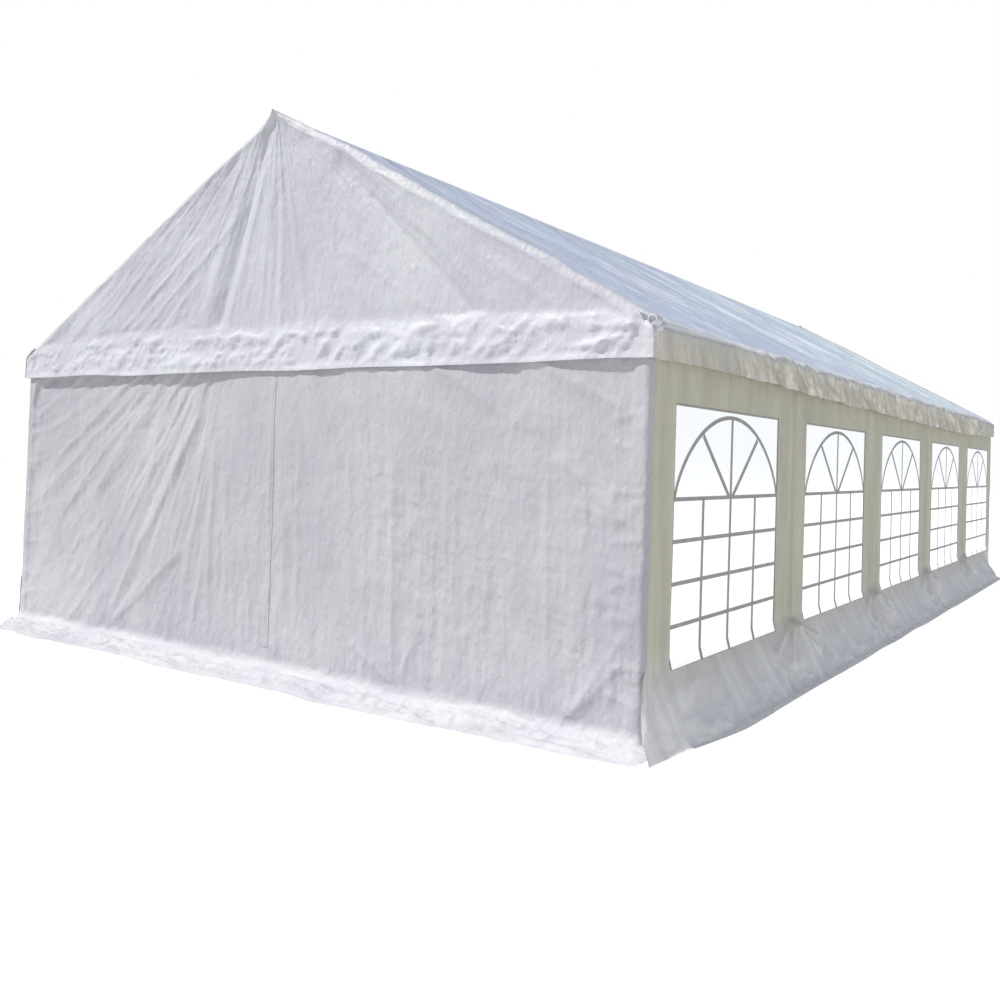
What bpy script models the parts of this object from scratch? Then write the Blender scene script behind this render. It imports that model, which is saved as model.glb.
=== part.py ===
# Marquee tent of five bays, with an arched window in every bay of both long sides.
# Metres, +Z up. The origin is on the ground under the middle of the ridge.
# +Y runs along the ridge, and the front gable faces -Y.

import math

import bmesh
import bpy
from mathutils import Matrix, Vector

# Driving dimensions
SPAN = 5.0  # between the outer faces of the two long walls
LENGTH = 10.0  # between the outer faces of the two end walls
BAY_COUNT = 5
RIDGE_TOP = 3.29  # top of the roof cover over the ridge pole
ROOF_SLOPE = 0.544  # rise over run
FABRIC = 0.006  # thickness given to every cover and wall sheet
FIT = 0.0003  # clearance between neighbours that touch

# Steel frame
TUBE_RADIUS = 0.019
POLE_RADIUS = 0.016
TUBE_SIDES = 16
SLEEVE_LENGTH = 0.05
FOOT_SIZE = 0.15
FOOT_THICKNESS = 0.006

# Roof cover and its valance
VALANCE_STAND = 0.045  # how far the side valance hangs outside the wall face
VALANCE_HEM = 1.725
VALANCE_FLARE = 0.006
SHOULDER_RADIUS = 0.045
SHOULDER_STEPS = 4
SLOPE_STEPS = 6
BAY_STEPS = 4
ROOF_SAG = 0.02
COVER_OVERHANG = 0.036  # past the face of each end wall

# Gable covers
BAND_STAND = 0.034
BAND_HEM = 1.75
BAND_TOP = 1.94
BAND_FADE = 0.11  # height over which the band runs back to the rafters
GABLE_COLUMNS = 12
GABLE_ROWS = 7
APEX_HALF_WIDTH = 0.012

# Walls and ground skirts
WALL_TOP = 1.88
SKIRT_BEND = 0.08
BEND_STEPS = 4
END_SKIRT_REACH = 0.33
SIDE_SKIRT_REACH = 0.24
END_SKIRT_SPLAY = 0.30  # sideways growth of the skirt at its corners, per metre out
SIDE_SKIRT_SPLAY = 0.40
END_WALL_COLUMNS = 5
SIDE_WALL_COLUMNS = 4

# Windows and the zips of the end walls
WINDOW_WIDTH = 1.464
WINDOW_SILL = 0.311
WINDOW_HEAD = 1.569
FILM = 0.002
ZIP_PLACE = 0.075
ZIP_WIDTH = 0.06
ZIP_THICKNESS = 0.004
ZIP_BOTTOM = 0.12
ZIP_TOP = 1.86

# Sizes that follow
BAY = LENGTH / BAY_COUNT
HALF_SPAN = SPAN / 2
HALF_LENGTH = LENGTH / 2
SLOPE_LENGTH_FACTOR = math.hypot(1.0, ROOF_SLOPE)
SLOPE_ANGLE = math.atan(ROOF_SLOPE)
FRAME_INSET = FABRIC + FIT + TUBE_RADIUS
FRAME_X = HALF_SPAN - FRAME_INSET
FRAME_Y = HALF_LENGTH - FRAME_INSET
RIDGE_Z = RIDGE_TOP - FRAME_INSET * SLOPE_LENGTH_FACTOR
EAVE_Z = RIDGE_Z - ROOF_SLOPE * FRAME_X
RAIL_INSET = TUBE_RADIUS + FIT + POLE_RADIUS
RAIL_Z = FOOT_THICKNESS + FIT + POLE_RADIUS
VALANCE_X = HALF_SPAN + VALANCE_STAND
SHOULDER_X = VALANCE_X - SHOULDER_RADIUS
SHOULDER_Z = RIDGE_TOP - ROOF_SLOPE * SHOULDER_X - SHOULDER_RADIUS * SLOPE_LENGTH_FACTOR


def new_collection(name):
    collection = bpy.data.collections.new(name)
    bpy.context.scene.collection.children.link(collection)
    return collection


def new_material(name, colour, roughness, metallic=0.0, alpha=1.0):
    material = bpy.data.materials.new(name)
    material.use_nodes = True
    shader = material.node_tree.nodes["Principled BSDF"]
    shader.inputs["Base Color"].default_value = (*colour, 1.0)
    shader.inputs["Roughness"].default_value = roughness
    shader.inputs["Metallic"].default_value = metallic
    shader.inputs["Alpha"].default_value = alpha
    material.diffuse_color = (*colour, alpha)
    return material


def add_object(name, mesh, material):
    """One node of the tent, in its collection."""
    part = bpy.data.objects.new(name, mesh)
    part.data.materials.clear()
    part.data.materials.append(material)
    tent.objects.link(part)
    return part


def mesh_from(name, build):
    """A mesh filled by a function that draws into a bmesh."""
    bm = bmesh.new()
    build(bm)
    mesh = bpy.data.meshes.new(name)
    bm.to_mesh(mesh)
    bm.free()
    return mesh


def draw_bar(bm, start, end, radius):
    """A closed round bar between two points."""
    start = Vector(start)
    end = Vector(end)
    turn = Vector((0, 0, 1)).rotation_difference(end - start).to_matrix().to_4x4()
    place = Matrix.Translation((start + end) / 2)
    bmesh.ops.create_cone(
        bm,
        cap_ends=True,
        segments=TUBE_SIDES,
        radius1=radius,
        radius2=radius,
        depth=(end - start).length,
        matrix=place @ turn,
    )


def draw_box(bm, low, high):
    """A box between its lowest and highest corners."""
    low = Vector(low)
    high = Vector(high)
    size = Matrix.Diagonal((*(high - low), 1.0))
    bmesh.ops.create_cube(bm, size=1.0, matrix=Matrix.Translation((low + high) / 2) @ size)


def add_bar(name, start, end, radius):
    mesh = mesh_from(name, lambda bm: draw_bar(bm, start, end, radius))
    mesh.shade_smooth()
    mesh.set_sharp_from_angle(angle=math.radians(40))
    return add_object(name, mesh, steel)


def add_box(name, low, high, material):
    return add_object(name, mesh_from(name, lambda bm: draw_box(bm, low, high)), material)


def add_sheet(name, columns, rows, place, outward, material):
    """A cloth sheet: a grid laid out by place(column, row), thickened inwards."""

    def build(bm):
        bmesh.ops.create_grid(bm, x_segments=columns, y_segments=rows, size=0.5)
        for vert in bm.verts:
            column = round((vert.co.x + 0.5) * columns)
            row = round((vert.co.y + 0.5) * rows)
            vert.co = place(column, row)
        bm.normal_update()
        facing = sum((face.normal * face.calc_area() for face in bm.faces), Vector())
        if facing.dot(Vector(outward)) < 0:
            bmesh.ops.reverse_faces(bm, faces=bm.faces[:])

    sheet = add_object(name, mesh_from(name, build), material)
    solidify = sheet.modifiers.new("thickness", "SOLIDIFY")
    solidify.thickness = FABRIC
    solidify.offset = -1.0
    solidify.use_even_offset = True
    solidify.use_quality_normals = True
    return sheet


def shoulder_points(inset):
    """The rounded shoulder over the eave pole, from upright to slope, set inwards by a distance."""
    points = []
    for step in range(SHOULDER_STEPS + 1):
        angle = math.pi / 2 + (SLOPE_ANGLE - math.pi / 2) * step / SHOULDER_STEPS
        radius = SHOULDER_RADIUS - inset
        points.append((SHOULDER_X + radius * math.sin(angle), SHOULDER_Z + radius * math.cos(angle)))
    return points


def cover_profile():
    """Outer outline of the roof cover across the tent, from the +X hem to the ridge."""
    points = [(VALANCE_X + VALANCE_FLARE, VALANCE_HEM)] + shoulder_points(0.0)
    slope_x = points[-1][0]
    for step in range(1, SLOPE_STEPS + 1):
        x = slope_x * (1 - step / SLOPE_STEPS)
        points.append((x, RIDGE_TOP - ROOF_SLOPE * x))
    return points


def skirt_profile(reach):
    """Outer face of a wall, as distance out and height, from its top to the skirt's edge."""
    points = [(0.0, WALL_TOP)]
    for step in range(BEND_STEPS + 1):
        angle = math.pi / 2 * step / BEND_STEPS
        out = SKIRT_BEND * (1 - math.cos(angle))
        height = FABRIC + SKIRT_BEND * (1 - math.sin(angle))
        points.append((out, height))
    points.append((reach, FABRIC))
    return points


def rafter_places():
    """Where the portal frames stand along the tent, the end ones just inside the end walls."""
    places = [-HALF_LENGTH + BAY * index for index in range(BAY_COUNT + 1)]
    places[0] = -FRAME_Y
    places[-1] = FRAME_Y
    return places


def add_roof_cover():
    half = cover_profile()
    outline = half + [(-x, z) for x, z in reversed(half[:-1])]
    slope_start = SHOULDER_STEPS + 1
    middle = len(half) - 1
    rafters = rafter_places()
    stations = [(-HALF_LENGTH - COVER_OVERHANG, 0.0)]
    for start, end in zip(rafters, rafters[1:]):
        for step in range(BAY_STEPS):
            part_way = step / BAY_STEPS
            stations.append((start + (end - start) * part_way, ROOF_SAG * math.sin(math.pi * part_way)))
    stations += [(FRAME_Y, 0.0), (HALF_LENGTH + COVER_OVERHANG, 0.0)]

    def place(column, row):
        x, z = outline[column]
        y, depth = stations[row]
        down = min(abs(column - middle) / (middle - slope_start), 1.0)
        return Vector((x, y, z - depth * math.sin(math.pi * down)))

    add_sheet("roof_cover", len(outline) - 1, len(stations) - 1, place, (0, 0, 1), roof_fabric)


def add_gable_cover(name, side):
    """The triangle over an end wall with the valance band under it; side is -1 at the front."""
    inset = FABRIC + FIT
    slope_top = RIDGE_TOP - inset * SLOPE_LENGTH_FACTOR
    apex = slope_top - ROOF_SLOPE * APEX_HALF_WIDTH
    fade_end = BAND_TOP + BAND_FADE
    heights = [BAND_TOP]
    for step in range(GABLE_ROWS + 1):
        heights.append(fade_end + (apex - fade_end) * step / GABLE_ROWS)
    outline = [(VALANCE_X - inset, BAND_HEM)] + shoulder_points(inset)
    outline += [((slope_top - z) / ROOF_SLOPE, z) for z in heights]

    def place(column, row):
        half_width, z = outline[row]
        fade = min(max((fade_end - z) / BAND_FADE, 0.0), 1.0)
        x = half_width * (2 * column / GABLE_COLUMNS - 1)
        return Vector((x, side * (HALF_LENGTH + BAND_STAND * fade), z))

    add_sheet(name, GABLE_COLUMNS, len(outline) - 1, place, (0, side, 0), gable_fabric)


def add_end_wall(name, side, hand):
    """Half of an end wall, from its zip to one corner, with its ground skirt."""
    profile = skirt_profile(END_SKIRT_REACH)
    zip_x = -side * ZIP_PLACE

    def place(column, row):
        out, z = profile[row]
        inner_x = zip_x + hand * FIT / 2
        corner_x = hand * (HALF_SPAN + END_SKIRT_SPLAY * out)
        x = inner_x + (corner_x - inner_x) * column / END_WALL_COLUMNS
        return Vector((x, side * (HALF_LENGTH + out), z))

    add_sheet(name, END_WALL_COLUMNS, len(profile) - 1, place, (0, side, 0.1), wall_fabric)


def add_zip_flap(name, side):
    inner = HALF_LENGTH + FIT
    outer = inner + ZIP_THICKNESS
    faces = sorted((side * inner, side * outer))
    centre = -side * ZIP_PLACE
    low = (centre - ZIP_WIDTH / 2, faces[0], ZIP_BOTTOM)
    high = (centre + ZIP_WIDTH / 2, faces[1], ZIP_TOP)
    add_box(name, low, high, wall_fabric)


def add_side_panel(name, side, bay):
    """One bay of a long wall with its window opening and ground skirt."""
    profile = skirt_profile(SIDE_SKIRT_REACH)
    start = -HALF_LENGTH + BAY * bay
    corner = FABRIC + FIT

    def place(column, row):
        out, z = profile[row]
        low_y = start + FIT / 2
        high_y = start + BAY - FIT / 2
        if bay == 0:
            low_y = -HALF_LENGTH + corner - SIDE_SKIRT_SPLAY * out
        if bay == BAY_COUNT - 1:
            high_y = HALF_LENGTH - corner + SIDE_SKIRT_SPLAY * out
        y = low_y + (high_y - low_y) * column / SIDE_WALL_COLUMNS
        return Vector((side * (HALF_SPAN + out), y, z))

    panel = add_sheet(name, SIDE_WALL_COLUMNS, len(profile) - 1, place, (side, 0, 0.1), wall_fabric)

    low, high = window_box(side, bay, BAY / 4)
    cutter = bpy.data.objects.new(name + "_hole", mesh_from(name + "_hole", lambda bm: draw_box(bm, low, high)))
    cutter.display_type = "WIRE"
    cutter.hide_render = True
    cutters.objects.link(cutter)
    hole = panel.modifiers.new("window", "BOOLEAN")
    hole.operation = "DIFFERENCE"
    hole.object = cutter


def window_box(side, bay, depth, inset=0.0):
    """Corners of a bay's window, centred on the thickness of the wall sheet."""
    middle_x = side * (HALF_SPAN - FABRIC / 2)
    middle_y = -HALF_LENGTH + BAY * (bay + 0.5)
    half_width = WINDOW_WIDTH / 2 - inset
    low = (middle_x - depth / 2, middle_y - half_width, WINDOW_SILL + inset)
    high = (middle_x + depth / 2, middle_y + half_width, WINDOW_HEAD - inset)
    return low, high


def add_helper(build, collection):
    helper = bpy.data.objects.new("helper", mesh_from("helper", build))
    collection.objects.link(helper)
    return helper


def portal_mesh(name, foot_shift):
    """Two uprights, two rafters, sleeves for the long poles and foot plates, as one welded frame."""
    foot_edge = HALF_SPAN - FABRIC - FIT
    foot_middle = foot_edge - FOOT_SIZE / 2
    solids = []
    for hand in (-1, 1):
        eave = (hand * FRAME_X, 0, EAVE_Z)
        foot = (hand * FRAME_X, 0, FOOT_THICKNESS / 2)
        plate_low = (hand * foot_middle - FOOT_SIZE / 2, foot_shift - FOOT_SIZE / 2, 0)
        plate_high = (hand * foot_middle + FOOT_SIZE / 2, foot_shift + FOOT_SIZE / 2, FOOT_THICKNESS)
        solids.append(lambda bm, a=foot, b=eave: draw_bar(bm, a, b, TUBE_RADIUS))
        solids.append(lambda bm, a=eave: draw_bar(bm, a, (0, 0, RIDGE_Z), TUBE_RADIUS))
        solids.append(lambda bm, a=plate_low, b=plate_high: draw_box(bm, a, b))
    poles = [(-FRAME_X, EAVE_Z), (0.0, RIDGE_Z), (FRAME_X, EAVE_Z)]
    half_sleeve = TUBE_RADIUS if foot_shift else SLEEVE_LENGTH / 2
    for x, z in poles:
        low = (x, -half_sleeve, z)
        high = (x, SLEEVE_LENGTH / 2, z)
        solids.append(lambda bm, a=low, b=high: draw_bar(bm, a, b, TUBE_RADIUS))
    bores = []
    for x, z in poles:
        low = (x, -SLEEVE_LENGTH, z)
        high = (x, SLEEVE_LENGTH, z)
        bores.append(lambda bm, a=low, b=high: draw_bar(bm, a, b, POLE_RADIUS + FIT))

    base = add_helper(solids[0], cutters)
    for operation, builds in (("UNION", solids[1:]), ("DIFFERENCE", bores)):
        operands = new_collection("operands")
        for build in builds:
            add_helper(build, operands)
        step = base.modifiers.new(operation.lower(), "BOOLEAN")
        step.operation = operation
        step.solver = "MANIFOLD"
        step.operand_type = "COLLECTION"
        step.collection = operands
    bpy.context.view_layer.update()
    evaluated = base.evaluated_get(bpy.context.evaluated_depsgraph_get())
    mesh = bpy.data.meshes.new_from_object(evaluated)
    mesh.name = name
    mesh.shade_smooth()
    mesh.set_sharp_from_angle(angle=math.radians(40))
    for step in base.modifiers:
        for helper in list(step.collection.objects):
            bpy.data.objects.remove(helper)
        bpy.data.collections.remove(step.collection)
    bpy.data.objects.remove(base)
    return mesh


def add_portal_frames():
    end_mesh = portal_mesh("end_portal", FOOT_SIZE / 2 - TUBE_RADIUS)
    middle_mesh = portal_mesh("middle_portal", 0.0)
    for index, y in enumerate(rafter_places()):
        at_end = index in (0, BAY_COUNT)
        frame = add_object(f"portal_frame_{index + 1}", end_mesh if at_end else middle_mesh, steel)
        frame.location.y = y
        if index == BAY_COUNT:
            frame.rotation_euler.z = math.pi


def add_poles_and_rails():
    pole_y = HALF_LENGTH - FABRIC - FIT
    add_bar("ridge_pole", (0, -pole_y, RIDGE_Z), (0, pole_y, RIDGE_Z), POLE_RADIUS)
    rail_x = FRAME_X - RAIL_INSET
    rail_y = FRAME_Y - RAIL_INSET
    for hand, word in ((-1, "left"), (1, "right")):
        x = hand * FRAME_X
        add_bar(f"eave_pole_{word}", (x, -pole_y, EAVE_Z), (x, pole_y, EAVE_Z), POLE_RADIUS)
        x = hand * rail_x
        add_bar(f"base_rail_{word}", (x, -pole_y, RAIL_Z), (x, pole_y, RAIL_Z), POLE_RADIUS)
    beam_x = FRAME_X - TUBE_RADIUS - FIT
    cross_x = rail_x - POLE_RADIUS - FIT
    for side, word in ((-1, "front"), (1, "rear")):
        y = side * rail_y
        add_bar(f"base_rail_{word}", (-cross_x, y, RAIL_Z), (cross_x, y, RAIL_Z), POLE_RADIUS)
        add_bar(f"tie_beam_{word}", (-beam_x, y, EAVE_Z), (beam_x, y, EAVE_Z), POLE_RADIUS)


def add_walls_and_windows():
    for side, end in ((-1, "front"), (1, "rear")):
        for hand, word in ((-1, "left"), (1, "right")):
            add_end_wall(f"{end}_wall_{word}", side, hand)
        add_zip_flap(f"{end}_zip_flap", side)
    for side, word in ((-1, "left"), (1, "right")):
        for bay in range(BAY_COUNT):
            add_side_panel(f"{word}_wall_panel_{bay + 1}", side, bay)
            low, high = window_box(side, bay, FILM, FIT)
            add_box(f"{word}_window_{bay + 1}", low, high, window_film)


for leftover in list(bpy.data.objects):
    bpy.data.objects.remove(leftover, do_unlink=True)

tent = new_collection("marquee_tent")
cutters = new_collection("cutters")
cutters.hide_render = True

roof_fabric = new_material("roof_fabric", (0.60, 0.68, 0.74), 0.45)
gable_fabric = new_material("gable_fabric", (0.70, 0.72, 0.76), 0.50)
wall_fabric = new_material("wall_fabric", (0.68, 0.69, 0.70), 0.50)
window_film = new_material("window_film", (0.95, 0.96, 0.97), 0.20, alpha=0.6)
steel = new_material("steel", (0.55, 0.56, 0.57), 0.40, metallic=0.9)

add_roof_cover()
add_gable_cover("front_gable_cover", -1)
add_gable_cover("rear_gable_cover", 1)
add_walls_and_windows()
add_portal_frames()
add_poles_and_rails()
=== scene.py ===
import math

import bmesh
import bpy
import numpy as np
from mathutils import Matrix, Vector


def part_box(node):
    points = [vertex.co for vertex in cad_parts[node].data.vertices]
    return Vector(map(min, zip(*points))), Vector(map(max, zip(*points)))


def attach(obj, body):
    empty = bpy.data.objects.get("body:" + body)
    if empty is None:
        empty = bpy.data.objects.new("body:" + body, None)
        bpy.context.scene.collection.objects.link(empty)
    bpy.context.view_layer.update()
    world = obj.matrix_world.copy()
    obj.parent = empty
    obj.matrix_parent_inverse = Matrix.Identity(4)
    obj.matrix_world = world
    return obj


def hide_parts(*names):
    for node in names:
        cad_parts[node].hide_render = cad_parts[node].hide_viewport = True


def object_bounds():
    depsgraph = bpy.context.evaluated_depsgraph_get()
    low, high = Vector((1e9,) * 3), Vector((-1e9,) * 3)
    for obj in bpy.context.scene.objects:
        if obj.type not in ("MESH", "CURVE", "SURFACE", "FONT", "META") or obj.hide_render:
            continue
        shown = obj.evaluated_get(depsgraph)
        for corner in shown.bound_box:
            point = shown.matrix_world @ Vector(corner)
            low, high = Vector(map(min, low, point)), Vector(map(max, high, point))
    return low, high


# Looks of the marquee tent: the covers as creased sheets of tarpaulin, the arched windows,
# the steel finish, the floor, the light and the camera. Metres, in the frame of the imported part.

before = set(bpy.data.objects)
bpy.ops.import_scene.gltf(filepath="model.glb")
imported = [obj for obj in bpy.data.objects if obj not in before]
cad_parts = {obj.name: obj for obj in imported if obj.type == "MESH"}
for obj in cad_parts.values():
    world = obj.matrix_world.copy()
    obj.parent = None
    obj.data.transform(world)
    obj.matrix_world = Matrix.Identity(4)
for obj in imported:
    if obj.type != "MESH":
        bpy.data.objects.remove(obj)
cadBox = [[float(c) for c in corner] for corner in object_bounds()]

# Shared sizes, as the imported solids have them
tent = {
    "halfSpan": 2.5,
    "halfLength": 5.0,
    "bay": 2.0,
    "bays": 5,
    "ridgeTop": cadBox[1][2],
    "slope": 0.544,
    "shoulderRadius": 0.045,
    "valanceX": 2.545,
    "wallTop": 1.88,
    "tuck": {"open": 0.030, "plain": 0.017},
    "groundGap": 0.006,  # height of the skirt's upper face where it lies on the ground
}
slopeFactor = math.hypot(1.0, tent["slope"])
slopeAngle = math.atan(tent["slope"])
upSlope = (tent["slope"] / slopeFactor, 1.0 / slopeFactor)  # normal of the +X slope in x and z
shoulderX = tent["valanceX"] - tent["shoulderRadius"]
shoulderZ = tent["ridgeTop"] - tent["slope"] * shoulderX - tent["shoulderRadius"] * slopeFactor
rafterY = [-4.9747, -3.0, -1.0, 1.0, 3.0, 4.9747]


# Random hills that the creases are made of

noiseTable = np.random.default_rng(11).uniform(-1.0, 1.0, (256, 256))


def softNoise(x, y, shift=0.0):
    x = x + 37.31 * shift
    y = y + 17.73 * shift
    column = np.floor(x).astype(int)
    row = np.floor(y).astype(int)
    a = x - column
    b = y - row
    a = a * a * (3.0 - 2.0 * a)
    b = b * b * (3.0 - 2.0 * b)
    left = noiseTable[row & 255, column & 255] * (1 - b) + noiseTable[(row + 1) & 255, column & 255] * b
    right = noiseTable[row & 255, (column + 1) & 255] * (1 - b) + noiseTable[(row + 1) & 255, (column + 1) & 255] * b
    return left * (1 - a) + right * a


def creaseNoise(x, y, shift=0.0, octaves=3):
    # sharp crests between soft facets, from about -1 to 1
    total = 0.0
    weight = 1.0
    for step in range(octaves):
        total = total + weight * (1.0 - 3.0 * np.abs(softNoise(x, y, shift + step)))
        x, y = 1.9 * x + 0.6 * y, 1.9 * y - 0.6 * x
        weight *= 0.55
    return total / 2.0


def smoothStep(low, high, value):
    t = np.clip((value - low) / (high - low), 0.0, 1.0)
    return t * t * (3.0 - 2.0 * t)


def foldLine(x, z, start, end, width, height, tail=0.18):
    # one crest from start to end, sharp on top and soft at its flanks, which fades at both ends
    runX = end[0] - start[0]
    runZ = end[1] - start[1]
    length = math.hypot(runX, runZ)
    along = ((x - start[0]) * runX + (z - start[1]) * runZ) / length**2
    across = ((x - start[0]) * runZ - (z - start[1]) * runX) / length
    across = across + 0.12 * width * softNoise(along * length / 0.12, across * 0.0, start[0])
    fade = smoothStep(0.0, tail, along) * smoothStep(0.0, tail, 1.0 - along)
    crest = 0.25 * width
    return height * fade * np.exp((crest - np.sqrt(across**2 + crest**2)) / (0.7 * width))


def streaks(x, z, direction, length, spacing, shift=0.0):
    # crests that run along a direction, given in radians from +x towards +z
    along = x * math.cos(direction) + z * math.sin(direction)
    across = z * math.cos(direction) - x * math.sin(direction)
    return creaseNoise(along / length, across / spacing, shift, 2)


def fan(x, z, centre, spacing, length, shift=0.0, octaves=2):
    # creases that radiate from a point; spacing in radians
    angle = np.arctan2(x - centre[0], centre[1] - z)
    return creaseNoise(angle / spacing, np.hypot(x - centre[0], centre[1] - z) / length, shift, octaves)


# Sheets

def spreadCloth(name, columns, rows, layout, facing):
    bm = bmesh.new()
    bm.loops.layers.uv.new("cloth")
    bmesh.ops.create_grid(bm, x_segments=columns, y_segments=rows, size=0.5, calc_uvs=True)
    mesh = bpy.data.meshes.new(name)
    bm.to_mesh(mesh)
    bm.free()
    places = np.empty(len(mesh.vertices) * 3)
    mesh.vertices.foreach_get("co", places)
    u = places[0::3] + 0.5
    v = places[1::3] + 0.5
    places[0::3], places[1::3], places[2::3] = layout(u, v)
    mesh.vertices.foreach_set("co", places)
    mesh.update()
    normals = np.empty(len(mesh.polygons) * 3)
    mesh.polygons.foreach_get("normal", normals)
    if normals.reshape(-1, 3).mean(axis=0) @ np.array(facing) < 0:
        mesh.flip_normals()
    mesh.shade_smooth()
    sheet = bpy.data.objects.new(name, mesh)
    bpy.context.scene.collection.objects.link(sheet)
    return sheet


def setFinish(piece, material, slot, *nodes):
    piece.data.materials.clear()
    piece.data.materials.append(material)
    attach(piece, "root")
    if nodes:
        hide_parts(*nodes)


# Materials

def addNode(tree, kind, **inputs):
    node = tree.nodes.new(kind)
    for key, value in inputs.items():
        node.inputs[key.replace("_", " ")].default_value = value
    return node


def ramp(tree, value, stops):
    # stops are place and colour, in order
    node = tree.nodes.new("ShaderNodeValToRGB")
    for index, (place, colour) in enumerate(stops):
        if index < 2:
            stop = node.color_ramp.elements[index]
            stop.position = place
        else:
            stop = node.color_ramp.elements.new(place)
        stop.color = (*colour, 1.0)
    tree.links.new(value, node.inputs["Fac"])
    return node.outputs["Color"]


def stretched(tree, source, scale, turn=(0.0, 0.0, 0.0)):
    node = tree.nodes.new("ShaderNodeMapping")
    node.inputs["Scale"].default_value = scale
    node.inputs["Rotation"].default_value = turn
    tree.links.new(source, node.inputs["Vector"])
    return node.outputs["Vector"]


def addBump(tree, height, strength, distance, before=None):
    node = addNode(tree, "ShaderNodeBump", Strength=strength, Distance=distance)
    tree.links.new(height, node.inputs["Height"])
    if before is not None:
        tree.links.new(before, node.inputs["Normal"])
    return node.outputs["Normal"]


def tarpaulin(name, look):
    material = bpy.data.materials.new(name)
    material.use_nodes = True
    tree = material.node_tree
    shader = tree.nodes["Principled BSDF"]
    shader.inputs["Specular IOR Level"].default_value = look["gloss"]
    place = tree.nodes.new("ShaderNodeTexCoord").outputs["Object"]

    # slow changes of tone, long the way the cloth is stretched: random tone in the coating, and where the noise is
    # drawn out into narrow streaks, painted shade of the pleats (side walls, valances) and painted sky reflection
    # (roof)
    toneAndPaintedStreaks = addNode(tree, "ShaderNodeTexNoise", Scale=1.0, Detail=5.0, Roughness=0.62)
    tree.links.new(stretched(tree, place, look["patchScale"]), toneAndPaintedStreaks.inputs["Vector"])
    colour = ramp(tree, toneAndPaintedStreaks.outputs["Fac"], ((0.34, look["dark"]), (0.66, look["light"]), (0.5, look["middle"])))
    if "tint" in look:
        # another tone over a stretch of the piece, multiplied in: painted light and shade, such as the sunlit band, the
        # lit skirt, the shaded side walls and valances and the roof's sky reflection
        parts = tree.nodes.new("ShaderNodeSeparateXYZ")
        tree.links.new(place, parts.inputs["Vector"])
        stretch = tree.nodes.new("ShaderNodeMapRange")
        stretch.interpolation_type = "SMOOTHSTEP"
        stretch.inputs["From Min"].default_value = look["tintFrom"]
        stretch.inputs["From Max"].default_value = look["tintTo"]
        tree.links.new(parts.outputs[look["tintAxis"]], stretch.inputs["Value"])
        tinted = ramp(tree, stretch.outputs["Result"], ((0.0, look["tint"]), (1.0, (1.0, 1.0, 1.0))))
        blend = tree.nodes.new("ShaderNodeMix")
        blend.data_type = "RGBA"
        blend.blend_type = "MULTIPLY"
        blend.inputs["Factor"].default_value = 1.0
        tree.links.new(tinted, blend.inputs["A"])
        tree.links.new(colour, blend.inputs["B"])
        colour = blend.outputs["Result"]
    tree.links.new(colour, shader.inputs["Base Color"])

    dull = addNode(tree, "ShaderNodeTexNoise", Scale=6.0, Detail=3.0)
    tree.links.new(place, dull.inputs["Vector"])
    rough = tree.nodes.new("ShaderNodeMapRange")
    rough.inputs["To Min"].default_value = look["roughness"] - 0.08
    rough.inputs["To Max"].default_value = look["roughness"] + 0.08
    tree.links.new(dull.outputs["Fac"], rough.inputs["Value"])
    tree.links.new(rough.outputs["Result"], shader.inputs["Roughness"])

    # flat facets with sharp edges, as crumpled tarpaulin keeps them, in two sizes
    normal = None
    for scale, distance in ((look["facet"], 0.010), (2.3 * look["facet"], 0.006)):
        facets = addNode(tree, "ShaderNodeTexVoronoi", Scale=scale, Randomness=1.0)
        facets.feature = "F1"
        tree.links.new(stretched(tree, place, look["stretch"], look["turn"]), facets.inputs["Vector"])
        normal = addBump(tree, facets.outputs["Distance"], look["crinkle"], distance, normal)
    crease = addNode(tree, "ShaderNodeTexNoise", Scale=9.0, Detail=3.0, Roughness=0.7, Distortion=0.6)
    tree.links.new(stretched(tree, place, look["stretch"], look["turn"]), crease.inputs["Vector"])
    normal = addBump(tree, crease.outputs["Fac"], look["crinkle"], 0.018, normal)
    fine = addNode(tree, "ShaderNodeTexNoise", Scale=38.0, Detail=2.0, Roughness=0.6, Distortion=0.8)
    tree.links.new(stretched(tree, place, look["stretch"], look["turn"]), fine.inputs["Vector"])
    normal = addBump(tree, fine.outputs["Fac"], look["crinkle"], 0.009, normal)

    # the tape weave under the coating, about 3 mm a tape
    weave = None
    for axis in ("X", "Y", "Z"):
        wave = addNode(tree, "ShaderNodeTexWave", Scale=look["weaveScale"], Distortion=0.0)
        wave.wave_type = "BANDS"
        wave.bands_direction = axis
        tree.links.new(place, wave.inputs["Vector"])
        if weave is None:
            weave = wave.outputs["Fac"]
            continue
        both = tree.nodes.new("ShaderNodeMath")
        both.operation = "MULTIPLY"
        tree.links.new(weave, both.inputs[0])
        tree.links.new(wave.outputs["Fac"], both.inputs[1])
        weave = both.outputs["Value"]
    normal = addBump(tree, weave, look["weave"], 0.0004, normal)
    tree.links.new(normal, shader.inputs["Normal"])
    return material


gableLook = {
    "light": (0.560, 0.571, 0.610),
    "middle": (0.521, 0.522, 0.569),
    "dark": (0.493, 0.484, 0.538),
    # painted light: lighter on the band, which leans up into the sun
    "tint": (0.893, 0.893, 0.893),
    "tintAxis": "Z",
    "tintFrom": 2.06,
    "tintTo": 1.96,
    "roughness": 0.52,
    "gloss": 0.25,
    "patchScale": (1.6, 1.6, 1.1),
    "facet": 13.0,
    "stretch": (1.0, 1.0, 0.6),
    "turn": (0.0, 0.5, 0.0),
    "crinkle": 0.35,
    "weaveScale": 50.0,
    "weave": 0.2,
}
endLook = {
    **gableLook,
    "light": (0.540, 0.543, 0.573),
    "middle": (0.499, 0.495, 0.533),
    "dark": (0.463, 0.454, 0.502),
    # painted light: lighter towards the ground, where the skirt faces up into the sun
    "tint": (0.845, 0.845, 0.845),
    "tintAxis": "Z",
    "tintFrom": 0.60,
    "tintTo": 0.0,
}
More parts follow.
